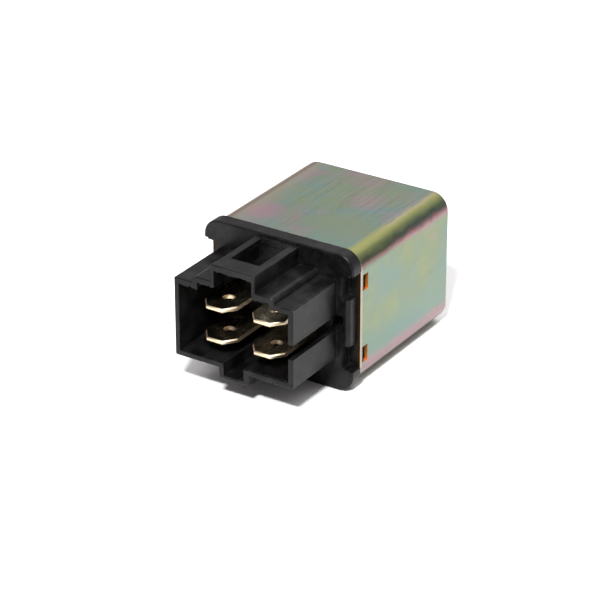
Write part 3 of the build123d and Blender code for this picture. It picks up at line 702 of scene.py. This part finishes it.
def softened_copy(node, name, finish, edge, sharp_angle=math.radians(40)):
    """A copy of a node's shape with its sharp edges rounded, standing for the node."""
    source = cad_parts[node].data
    maker = bmesh.new()
    points = [maker.verts.new(v.co) for v in source.vertices]
    for polygon in source.polygons:
        maker.faces.new([points[i] for i in polygon.vertices])
    bmesh.ops.remove_doubles(maker, verts=maker.verts, dist=0.002 * MM)
    bmesh.ops.dissolve_limit(maker, angle_limit=math.radians(0.6), verts=maker.verts,
                             edges=maker.edges)
    maker.normal_update()
    sharp = [e for e in maker.edges if e.is_manifold and e.calc_face_angle(0.0) > sharp_angle]
    bmesh.ops.bevel(maker, geom=sharp, offset=edge, segments=2, profile=0.5, affect="EDGES",
                    clamp_overlap=False)
    piece = piece_from(maker, name, finish)
    weighted = piece.modifiers.new("even_shading", "WEIGHTED_NORMAL")
    weighted.keep_sharp = True
    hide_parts(node)
    return piece


def place(piece, body, slot):
    """Let a piece ride on its body; its slot is not used."""
    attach(piece, body)


def coat(finish, *nodes):
    """Give nodes of the frame a detailed finish."""
    for node in nodes:
        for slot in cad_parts[node].material_slots:
            slot.material = finish


def ragged_strip(maker, start, end, outward, depth, step, tallest, draw):
    """A torn fin along a straight edge: teeth of uneven length pointing outward."""
    start = Vector(start)
    end = Vector(end)
    outward = Vector(outward).normalized()
    depth = Vector(depth)
    along = (end - start).normalized()
    count = max(3, round((end - start).length / step))
    roots = []
    tips = []
    height = 0.0
    for k in range(count + 1):
        point = start.lerp(end, k / count)
        inner = 0 < k < count
        wanted = tallest * draw.random() ** FEW_TALL if inner else 0.0
        height = 0.4 * height + 0.6 * wanted
        lean = along * draw.uniform(-0.3, 0.3) * step * inner
        roots.append(point - outward * ROOT_SINK)
        tips.append(point + outward * (height + LEAST_TOOTH) + lean)
    front = [maker.verts.new(p) for p in roots + tips[::-1]]
    back = [maker.verts.new(p + depth) for p in roots + tips[::-1]]
    total = len(front)
    for k in range(count):
        other = total - 1 - k
        maker.faces.new((front[k], front[k + 1], front[other - 1], front[other]))
        maker.faces.new((back[k + 1], back[k], back[other], back[other - 1]))
    for k in range(total):
        after = (k + 1) % total
        maker.faces.new((front[after], front[k], back[k], back[after]))


# -------- pieces
class RELAY_OT_base(bpy.types.Operator):
    """Finish the moulded base in satin black plastic and add the torn mould flash on its rim"""
    bl_idname = "relay.mould_base"
    bl_label = "Moulded base"

    def execute(self, context):
        sizes = context.scene.relay_pieces
        plastic = satin_plastic(context.scene.relay_finishes, sizes.pebble, sizes.plastic_edge)
        coat(plastic, "base")
        low, high = BOX["base"]
        draw = random.Random(TORN_SEED)
        self.add_flash(sizes, plastic, low.y + sizes.flash_setback, draw)
        over_can = BOX["can_cover"][0].y - sizes.burr_t
        self.add_burr(sizes, plastic, over_can, high.z - ROOT_SINK, draw)
        return {"FINISHED"}

    def add_flash(self, sizes, plastic, front, draw):
        """Mould flash on the inner edges of the socket's rim."""
        half = sizes.rim_half
        platform = sizes.platform_half
        bridge = sizes.bridge_half
        ceiling = sizes.rim_ceiling
        up = (0, 0, 1)
        down = (0, 0, -1)
        # (from x, to x, height, way that the teeth point, longest tooth as a share of the reach)
        edges = (
            (-half, -platform, ceiling, down, 1.0),
            (-platform, -bridge, ceiling + sizes.platform_rise, down, 1.0),
            (-bridge, bridge, ceiling + sizes.bridge_rise, down, 0.6),
            (bridge, platform, ceiling + sizes.platform_rise, down, 1.0),
            (platform, half, ceiling, down, 0.5),
            (sizes.key_half, half, sizes.rim_floor, up, 0.5),
            (-half, -sizes.key_half, sizes.rim_floor, up, 0.2),
        )
        maker = bmesh.new()
        for x0, x1, z, way, share_of_reach in edges:
            ragged_strip(maker, (x0, front, z), (x1, front, z), way, (0, sizes.flash_t, 0),
                         sizes.flash_step, share_of_reach * sizes.flash_reach, draw)
        flash = piece_from(maker, "mould_flash", plastic, TORN_ANGLE)
        place(flash, "root", "base_plastic")

    def add_burr(self, sizes, plastic, y, z, draw):
        """Torn lip along the flange's upper edge, lying over the can."""
        half = sizes.rim_half
        maker = bmesh.new()
        ragged_strip(maker, (-half, y, z), (half, y, z), (0, 1, 0), (0, 0, -sizes.burr_t),
                     sizes.flash_step * LIP_COARSER, sizes.burr_reach, draw)
        burr = piece_from(maker, "flange_burr", plastic, TORN_ANGLE)
        place(burr, "root", "base_plastic")


class RELAY_OT_can(bpy.types.Operator):
    """Finish the drawn steel can in yellow-passivated zinc"""
    bl_idname = "relay.plate_can"
    bl_label = "Plated can"

    def execute(self, context):
        low, high = BOX["can_cover"]
        coat(chromate_zinc(context.scene.relay_finishes, low.y / MM, high.y / MM), "can_cover")
        return {"FINISHED"}


class RELAY_OT_tabs(bpy.types.Operator):
    """Shape the four flat brass tabs with soft sheared edges"""
    bl_idname = "relay.shear_tabs"
    bl_label = "Flat tabs"

    def execute(self, context):
        tints = context.scene.relay_finishes
        edge = context.scene.relay_pieces.edge
        brass = rolled_metal("tab_brass", tints.brass, 0.2, wear=0.7, sheared=tints.sheared_brass)
        for node in ("terminal_common", "terminal_output", "terminal_coil_a", "terminal_coil_b"):
            tab = softened_copy(node, node.replace("terminal", "tab"), brass, edge)
            place(tab, "root", "brass_tab")
        return {"FINISHED"}


class RELAY_OT_magnet(bpy.types.Operator):
    """Finish the plated iron of the magnet: yoke, core, armature and backstop"""
    bl_idname = "relay.plate_magnet"
    bl_label = "Magnet iron"

    def execute(self, context):
        iron = rolled_metal("plated_iron", context.scene.relay_finishes.iron, 0.3, wear=0.75)
        coat(iron, "yoke", "core", "armature", "backstop")
        return {"FINISHED"}


class RELAY_OT_coil(bpy.types.Operator):
    """Wind the coil on its nylon bobbin and wrap it in tape"""
    bl_idname = "relay.wind_coil"
    bl_label = "Coil"

    def execute(self, context):
        tints = context.scene.relay_finishes
        sizes = context.scene.relay_pieces
        coat(moulded_nylon(tints.nylon), "bobbin")
        enamel = lacquered("wire_enamel", tints.enamel, 0.25, size=0.6, metallic=0.7)
        coat(enamel, "coil_leads")
        self.wind_turns(sizes.magnet_wire, sizes.winding_depth, enamel)
        self.wrap_tape(sizes.tape_t, sizes.tape_turns, tints.tape)
        return {"FINISHED"}

    def wind_turns(self, wire, depth, enamel, steps=40):
        """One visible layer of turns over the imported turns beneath."""
        low, high, centre, outer = along_y("coil_winding")
        span = high.y - low.y
        bore = outer - depth
        packed = outer - wire
        maker = bmesh.new()
        add_lathe(maker, ((0.0, bore), (0.0, packed), (span, packed), (span, bore)),
                  Vector((centre.x, low.y, centre.z)), Y_AXIS, X_AXIS)
        count = int((span - wire) / wire) * steps
        add_tube(maker, [
            around(centre, math.tau * k / steps, outer - wire / 2,
                   low.y + wire / 2 + (span - wire) * k / count)
            for k in range(count + 1)
        ], wire / 2, sides=5)
        winding = piece_from(maker, "coil_turns", enamel)
        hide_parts("coil_winding")
        place(winding, "root", "enamelled_copper")

    def wrap_tape(self, thickness, turns, tint, steps=160, lap=0.4, tightness=0.9):
        """A strip of tape wound round the coil, with its free end lapped."""
        low, high, centre, outer = along_y("coil_tape")
        inner = outer - thickness * (turns + lap)
        maker = bmesh.new()
        rows = []
        for k in range(steps + 1):
            t = k / steps
            under = inner + (outer - thickness - inner) * t
            over = under + thickness * tightness
            rows.append([
                maker.verts.new(around(centre, math.tau * turns * t, r, y))
                for r, y in ((under, low.y), (under, high.y), (over, high.y), (over, low.y))
            ])
        skin(maker, rows)
        tape = piece_from(maker, "coil_tape_wrap", lacquered("polyester_tape", tint, 0.3, size=1.2))
        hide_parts("coil_tape")
        place(tape, "root", "coil_tape")


class RELAY_OT_contacts(bpy.types.Operator):
    """Finish the contact arm, its rivets and the two silver contacts"""
    bl_idname = "relay.finish_contacts"
    bl_label = "Contacts"

    def execute(self, context):
        tints = context.scene.relay_finishes
        leaf = rolled_metal("spring_copper", tints.leaf, 0.25, wear=0.75, grain=(0.05, 1.0, 1.0))
        silver = rolled_metal("contact_silver", tints.silver, 0.22, grain=(1.0, 1.0, 1.0))
        coat(leaf, "contact_arm", "arm_rivets")
        coat(silver, "moving_contact", "fixed_contact")
        return {"FINISHED"}


class RELAY_OT_spring(bpy.types.Operator):
    """Coil the return spring, with its two hooks, between the yoke's lug and the armature's tail"""
    bl_idname = "relay.coil_spring"
    bl_label = "Return spring"

    def execute(self, context):
        sizes = context.scene.relay_pieces
        path = self.wire_path(sizes.spring_wire, sizes.spring_turns, sizes.spring_pitch,
                              sizes.spring_turn_in)
        maker = bmesh.new()
        add_tube(maker, path, sizes.spring_wire / 2, sides=10)
        steel = rolled_metal("spring_steel", context.scene.relay_finishes.steel, 0.28)
        spring = piece_from(maker, "return_spring_wire", steel)
        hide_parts("return_spring")
        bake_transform(spring)
        return {"FINISHED"}

    def wire_path(self, wire, turns, pitch, turn_in, steps=20):
        """The wire's middle line: a hook's shank, a turn that opens out, the coil, and back again."""
        low, high, centre, outer = along_y("return_spring")
        coil_r = outer - wire / 2
        span = turns * pitch
        first = centre.y - span / 2
        last = first + span
        path = [Vector((centre.x, y, centre.z)) for y in (low.y + wire / 2, first - 2 * turn_in)]
        for k in range(steps):
            t = k / steps
            radius = coil_r * math.sin(t * math.pi / 2)
            path.append(around(centre, -math.pi * (1 - t), radius, first - turn_in * (1 - t)))
        count = turns * steps
        for k in range(count + 1):
            path.append(around(centre, math.tau * k / steps, coil_r, first + span * k / count))
        for k in range(1, steps + 1):
            t = k / steps
            radius = coil_r * math.cos(t * math.pi / 2)
            path.append(around(centre, math.pi * t, radius, last + turn_in * t))
        path += [Vector((centre.x, y, centre.z)) for y in (last + 2 * turn_in, high.y - wire / 2)]
        return path


class RELAY_OT_pigtail(bpy.types.Operator):
    """Twist the flexible copper lead from the yoke to the contact arm"""
    bl_idname = "relay.twist_pigtail"
    bl_label = "Flexible lead"

    def execute(self, context):
        sizes = context.scene.relay_pieces
        low, high = BOX["pigtail"]
        arm_low, arm_high = BOX["contact_arm"]
        half = sizes.strand * 3 / 2
        start = Vector((low.x + half, low.y, high.z - half))
        far = high.y - half
        on_arm = arm_high.y + half - sizes.lead_flattened
        land = Vector((high.x, on_arm, (arm_low.z + arm_high.z) / 2))
        touch = land - Vector((sizes.lead_weld, sizes.lead_sag, 0))
        leave = Vector((land.x - sizes.lead_foot, far, start.z - half))
        corners = (start, (start.x, far, start.z), leave, touch, land)
        path = evenly(rounded_path(corners, sizes.lead_bend), sizes.lead_step)
        maker = bmesh.new()
        add_tube(maker, path, sizes.strand / 2)
        outer_strands = sizes.strands - 1
        for k in range(outer_strands):
            phase = math.tau * k / outer_strands
            strand = twisted(path, sizes.strand, 1 / sizes.strand_lay, phase)
            add_tube(maker, strand, sizes.strand / 2)
        braid = rolled_metal("copper_braid", context.scene.relay_finishes.braid, 0.3)
        lead = piece_from(maker, "flexible_lead", braid)
        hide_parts("pigtail")
        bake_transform(lead)
        return {"FINISHED"}


class RELAY_OT_resistor(bpy.types.Operator):
    """Turn the suppression resistor with its colour bands, leads and solder joints"""
    bl_idname = "relay.turn_resistor"
    bl_label = "Suppression resistor"

    # name, place as a share of the body's length, colour
    BANDS = (
        ("brown", 0.22, (0.10, 0.03, 0.01)),
        ("black", 0.36, (0.01, 0.01, 0.01)),
        ("red", 0.50, (0.45, 0.02, 0.01)),
        ("gold", 0.76, (0.55, 0.38, 0.08)),
    )
    BAND_WIDTH = 0.07
    BAND_PROUD = 0.02 * MM
    # the body's waist as a share of its radius; its bulbs' place and spread and its rounded ends
    # as shares of its length
    WAIST = 0.84
    BULB_AT = 0.13
    BULB_SPREAD = 0.07
    END_ROUND = 0.09
    # wires, their lower (0) or upper (1) end, height and reach of the joint from it in millimetres
    JOINTS = (("coil_leads", 0, 0.12, 0.42), ("resistor_leads", 1, -0.15, 0.62))
    JOINT_INSET = 0.85 * MM
    JOINT_WIDTH = 0.75
    JOINT_HEIGHT = 0.28
    JOINT_SEED = 5

    def execute(self, context):
        tints = context.scene.relay_finishes
        low, high = BOX["suppression_resistor"]
        centre = (low + high) / 2
        radius = (high.z - low.z) / 2
        span = high.x - low.x
        start = Vector((low.x, centre.y, centre.z))
        steps = 60
        profile = [(span * k / steps, self.body_radius(radius, k / steps)) for k in range(steps + 1)]
        maker = bmesh.new()
        add_lathe(maker, profile, start, X_AXIS, Y_AXIS)
        body = piece_from(maker, "resistor_body", lacquered("resistor_lacquer", tints.lacquer, 0.25))
        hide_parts("suppression_resistor")
        place(body, "root", "resistor_body")
        for name, middle, tint in self.BANDS:
            self.paint_band(name, middle, tint, start, span, radius)
        tin = rolled_metal("tinned_wire", tints.tin, 0.3, wear=0.8)
        coat(tin, "resistor_leads")
        self.solder(tin)
        return {"FINISHED"}

    def body_radius(self, radius, t):
        """Radius of the dipped body at a share t of its length: bulbous ends and a waist."""
        waist = radius * self.WAIST
        edge = min(t, 1 - t)
        bulb = math.exp(-((edge - self.BULB_AT) / self.BULB_SPREAD) ** 2)
        close = math.sqrt(max(0.0, 1 - (1 - min(1.0, edge / self.END_ROUND)) ** 2))
        return max(0.3 * radius, (waist + (radius - waist) * bulb) * close)

    def paint_band(self, name, middle, tint, start, span, radius, steps=8):
        """A band of paint round the body."""
        width = self.BAND_WIDTH
        ring = [(0.0, 0.5 * radius)]
        for k in range(steps + 1):
            across = k / steps
            under = self.body_radius(radius, middle + width * (across - 0.5))
            ring.append((span * width * across, under + self.BAND_PROUD))
        ring.append((span * width, 0.5 * radius))
        maker = bmesh.new()
        add_lathe(maker, ring, start + X_AXIS * span * (middle - width / 2), X_AXIS, Y_AXIS)
        band = piece_from(maker, "resistor_band_" + name, lacquered("band_" + name, tint, 0.3))
        place(band, "root", "resistor_body")

    def solder(self, tin):
        """Small fillets of solder where wires and leads meet the coil tabs' tails."""
        maker = bmesh.new()
        draw = random.Random(self.JOINT_SEED)
        for tab in ("terminal_coil_a", "terminal_coil_b"):
            low, high = BOX[tab]
            outer = low.x if abs(low.x) > abs(high.x) else high.x
            inward = -1 if outer > 0 else 1
            x = outer + inward * self.JOINT_INSET
            for wires, end, inset, reach in self.JOINTS:
                ends = BOX[wires]
                y = (ends[0].y + ends[1].y) / 2
                self.add_blob(maker, (x, y, ends[end].z + inset * MM), reach, draw)
        place(piece_from(maker, "solder_joints", tin), "root", "tinned_wire")

    def add_blob(self, maker, centre, reach, draw):
        """A flat, slightly lumpy drop that reaches a given number of millimetres along Y."""
        blob = bmesh.ops.create_icosphere(maker, subdivisions=3, radius=1.0)
        for vertex in blob["verts"]:
            x, y, z = vertex.co
            lump = 1 + 0.12 * math.sin(5 * x + draw.random() * 0.4) * math.cos(4 * z)
            spread = Vector((x * self.JOINT_WIDTH, y * reach, z * self.JOINT_HEIGHT))
            vertex.co = Vector(centre) + spread * MM * lump


class RELAY_OT_studio(bpy.types.Operator):
    """Lay the pale floor, hang the soft lights and set up the camera"""
    bl_idname = "relay.set_studio"
    bl_label = "Studio"

    def execute(self, context):
        studio = context.scene.relay_studio
        self.lay_floor(studio)
        self.light(context.scene, studio)
        self.set_camera(context.scene, studio)
        context.scene.view_settings.view_transform = "Standard"
        return {"FINISHED"}

    def lay_floor(self, studio):
        """A wide pale floor, just under the relay."""
        maker = bmesh.new()
        bmesh.ops.create_grid(maker, x_segments=8, y_segments=8, size=studio.floor_half)
        floor = piece_from(maker, "floor", floor_paper(studio.floor_tint))
        floor.location.z = CAD_BOX[0].z - 0.01 * MM

    def light(self, scene, studio):
        """A soft sky, brightest overhead and behind, and two soft boxes."""
        world = bpy.data.worlds.new("soft_room")
        scene.world = world
        world.use_nodes = True
        tree = world.node_tree
        way = parts(put(tree, "TexCoord").outputs["Generated"])
        above = between(way["Z"], 0.0, 0.75, 0.1, 1.0)
        backdrop = between(way["Y"], -0.1, 0.5)
        strength = times(sums("MAXIMUM", above, backdrop), studio.sky)
        background = tree.nodes["Background"]
        feed(background.inputs["Strength"], strength)
        feed(background.inputs["Color"], studio.sky_tint)
        self.hang(scene, studio, "key", studio.key_azimuth, studio.key_elevation)
        self.hang(scene, studio, "back", studio.back_azimuth, studio.back_elevation)

    def hang(self, scene, studio, which, azimuth, elevation):
        """A soft box, named key or back as its settings are."""
        lamp_data = bpy.data.lights.new(which + "_light", "AREA")
        lamp_data.shape = "RECTANGLE"
        lamp_data.energy = getattr(studio, which)
        lamp_data.size = getattr(studio, which + "_width")
        lamp_data.size_y = getattr(studio, which + "_height")
        lamp = bpy.data.objects.new(which + "_light", lamp_data)
        scene.collection.objects.link(lamp)
        self.aim(lamp, azimuth, elevation, studio.light_distance, Vector(studio.aim))

    def set_camera(self, scene, studio):
        """The camera, with the settings' lens, angle and aim."""
        data = bpy.data.cameras.new("camera")
        data.lens = studio.lens
        data.sensor_width = 36.0
        data.clip_start = 0.01
        data.clip_end = 20.0
        camera = bpy.data.objects.new("camera", data)
        scene.collection.objects.link(camera)
        self.aim(camera, studio.azimuth, studio.elevation, studio.distance, Vector(studio.aim))
        scene.camera = camera

    def aim(self, thing, azimuth, elevation, distance, target):
        """Put a lamp or camera at an angle and distance from a target, looking at it."""
        flat = math.cos(elevation)
        back = Vector((math.sin(azimuth) * flat, -math.cos(azimuth) * flat, math.sin(elevation)))
        thing.location = target + back * distance
        thing.rotation_euler = (-back).to_track_quat("-Z", "Y").to_euler()


class RELAY_PT_pieces(bpy.types.Panel):
    """Lists the relay's pieces and settings"""
    bl_idname = "RELAY_PT_pieces"
    bl_label = "Plug-in relay"
    bl_space_type = "VIEW_3D"
    bl_region_type = "UI"
    bl_category = "Relay"

    def draw(self, context):
        for operator in OPERATORS:
            self.layout.operator(operator.bl_idname)
        for group in ("relay_finishes", "relay_pieces", "relay_studio"):
            settings = getattr(context.scene, group)
            box = self.layout.box()
            for key in settings.__annotations__:
                box.prop(settings, key)


SETTINGS = {
    "relay_finishes": RelayFinishSettings,
    "relay_pieces": RelayPieceSettings,
    "relay_studio": RelayStudioSettings,
}
OPERATORS = (
    RELAY_OT_base, RELAY_OT_can, RELAY_OT_tabs, RELAY_OT_magnet, RELAY_OT_coil, RELAY_OT_contacts,
    RELAY_OT_spring, RELAY_OT_pigtail, RELAY_OT_resistor, RELAY_OT_studio,
)


def register():
    for made in (*SETTINGS.values(), *OPERATORS, RELAY_PT_pieces):
        bpy.utils.register_class(made)
    for name, group in SETTINGS.items():
        setattr(bpy.types.Scene, name, PointerProperty(type=group))


def unregister():
    for name in SETTINGS:
        delattr(bpy.types.Scene, name)
    for made in reversed((*SETTINGS.values(), *OPERATORS, RELAY_PT_pieces)):
        bpy.utils.unregister_class(made)


def main():
    """Build every piece in order."""
    register()
    for operator in OPERATORS:
        family, action = operator.bl_idname.split(".")
        getattr(getattr(bpy.ops, family), action)()


if __name__ == "__main__":
    main()
